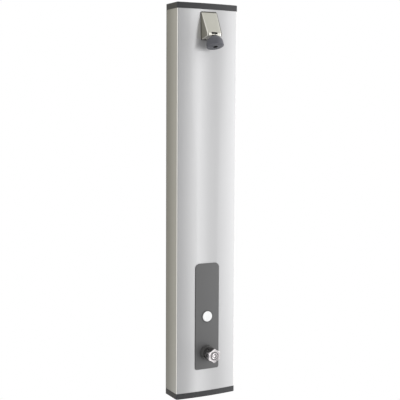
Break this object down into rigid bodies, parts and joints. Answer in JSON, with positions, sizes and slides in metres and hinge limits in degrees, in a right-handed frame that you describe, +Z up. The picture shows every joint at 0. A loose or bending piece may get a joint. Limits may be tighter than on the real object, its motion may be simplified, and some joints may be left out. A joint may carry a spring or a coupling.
{
  "type": "shower set",
  "caption": "Slim wall-mounted shower panel: bowed casing with end caps, a push button and a temperature knob on a control plate, and a tilting nozzle in a wedge head.",
  "frame": {"origin": "centre of the four wall fixing holes, on the wall's surface", "axes": "+Z up along the panel, +Y into the wall (the front faces -Y), +X to the right seen from the front"},
  "size_m": [0.2042, 0.1464, 1.2],
  "materials": {
    "casing": "satin anodised",
    "end_caps": "fine grain",
    "stainless_screws": "satin",
    "seal_rubber": "matte",
    "chassis_steel": "satin",
    "valve_brass": "machined",
    "valve_inner": "satin",
    "spring_steel": "drawn wire",
    "knob_chrome": "polished",
    "collar_plastic": "semi-gloss",
    "plate_grey": "satin",
    "bezel_plastic": "semi-gloss",
    "button_white": "gloss",
    "switch_plastic": "matte",
    "coil_black": "matte",
    "pipe_copper": "bare copper, satin",
    "clip_plastic": "matte",
    "box_plastic": "matte",
    "board_green": "solder mask",
    "battery_wrap": "shrink wrap",
    "cable_black": "matte",
    "head_metal": "satin",
    "gasket_rubber": "matte",
    "nozzle_grey": "satin",
    "nozzle_face_grey": "satin"
  },
  "bodies": {
    "panel": {"front_casing": "casing", "top_end_cap": "end_caps", "bottom_end_cap": "end_caps", "cap_screws": "stainless_screws", "wall_seal": "seal_rubber", "chassis_plate": "chassis_steel", "valve_bracket": "chassis_steel", "mixer_body": "valve_brass", "mixer_bonnet": "valve_brass", "mixer_spring": "spring_steel", "knob_collar": "collar_plastic", "control_plate": "plate_grey", "plate_push_nuts": "spring_steel", "button_bezel": "bezel_plastic", "bezel_back_nut": "switch_plastic", "button_spring": "spring_steel", "switch_block": "switch_plastic", "solenoid_body": "valve_brass", "armature_tube": "stainless_screws", "plunger_spring": "spring_steel", "solenoid_coil": "coil_black", "mixed_link_pipe": "pipe_copper", "riser_pipe": "pipe_copper", "pipe_clips": "clip_plastic", "compression_nuts": "valve_brass", "control_box": "box_plastic", "control_box_lid": "box_plastic", "control_board": "board_green", "battery_pack": "battery_wrap", "button_cable": "cable_black", "solenoid_cable": "cable_black", "inner_screws": "stainless_screws", "head_elbow": "valve_brass", "flow_regulator": "valve_inner", "head_back_nut": "valve_brass", "head_body": "head_metal", "head_gasket": "gasket_rubber", "ball_stub": "valve_brass", "hot_inlet_elbow": "valve_brass", "hot_isolator_body": "valve_brass", "hot_supply_pipe": "pipe_copper", "cold_inlet_elbow": "valve_brass", "cold_isolator_body": "valve_brass", "cold_supply_pipe": "pipe_copper"},
    "knob": {"temperature_knob": "knob_chrome", "knob_cap": "knob_chrome", "knob_screw": "stainless_screws", "valve_spindle": "valve_brass"},
    "regulator": {"regulator_nut": "valve_inner", "thermostatic_element": "valve_inner"},
    "button": {"button_cap": "button_white", "button_clip": "spring_steel"},
    "plunger": {"solenoid_plunger": "stainless_screws"},
    "hot_isolator": {"hot_isolator_ball": "stainless_screws"},
    "cold_isolator": {"cold_isolator_ball": "stainless_screws"},
    "nozzle": {"nozzle_dome": "nozzle_grey", "nozzle_face": "nozzle_face_grey", "nozzle_screw": "stainless_screws", "ball_retainer": "valve_brass", "nozzle_seal": "gasket_rubber"}
  },
  "joints": [
    {"name": "knob_turn", "type": "hinge", "parent": "panel", "child": "knob", "pos_m": [0, -0.1, -0.4615], "axis": [0, -1, 0], "range_deg": [-135, 135]},
    {"name": "regulator_slide", "type": "slide", "parent": "panel", "child": "regulator", "axis": [0, 1, 0], "range_m": [-0.0015, 0.0015], "deforming": ["mixer_spring"]},
    {"name": "button_press", "type": "slide", "parent": "panel", "child": "button", "axis": [0, 1, 0], "range_m": [0, 0.002], "stiffness_N_per_m": 1500, "springref_m": -0.002, "deforming": ["button_spring"]},
    {"name": "nozzle_tilt", "type": "hinge", "parent": "panel", "child": "nozzle", "pos_m": [0, -0.1166, 0.4853], "axis": [1, 0, 0], "range_deg": [-8, 8]},
    {"name": "hot_isolator_turn", "type": "hinge", "parent": "panel", "child": "hot_isolator", "pos_m": [-0.066, -0.033, -0.339], "axis": [0, -1, 0], "range_deg": [0, 90]},
    {"name": "cold_isolator_turn", "type": "hinge", "parent": "panel", "child": "cold_isolator", "pos_m": [0.066, -0.033, -0.339], "axis": [0, -1, 0], "range_deg": [0, 90]},
    {"name": "plunger_lift", "type": "slide", "parent": "panel", "child": "plunger", "axis": [0, -1, 0], "range_m": [0, 0.0025], "stiffness_N_per_m": 400, "springref_m": -0.004, "deforming": ["plunger_spring"]}
  ],
  "couplings": [
    {"joint": "regulator_slide", "follows": "knob_turn", "m_per_rad": 0.00063662}
  ]
}
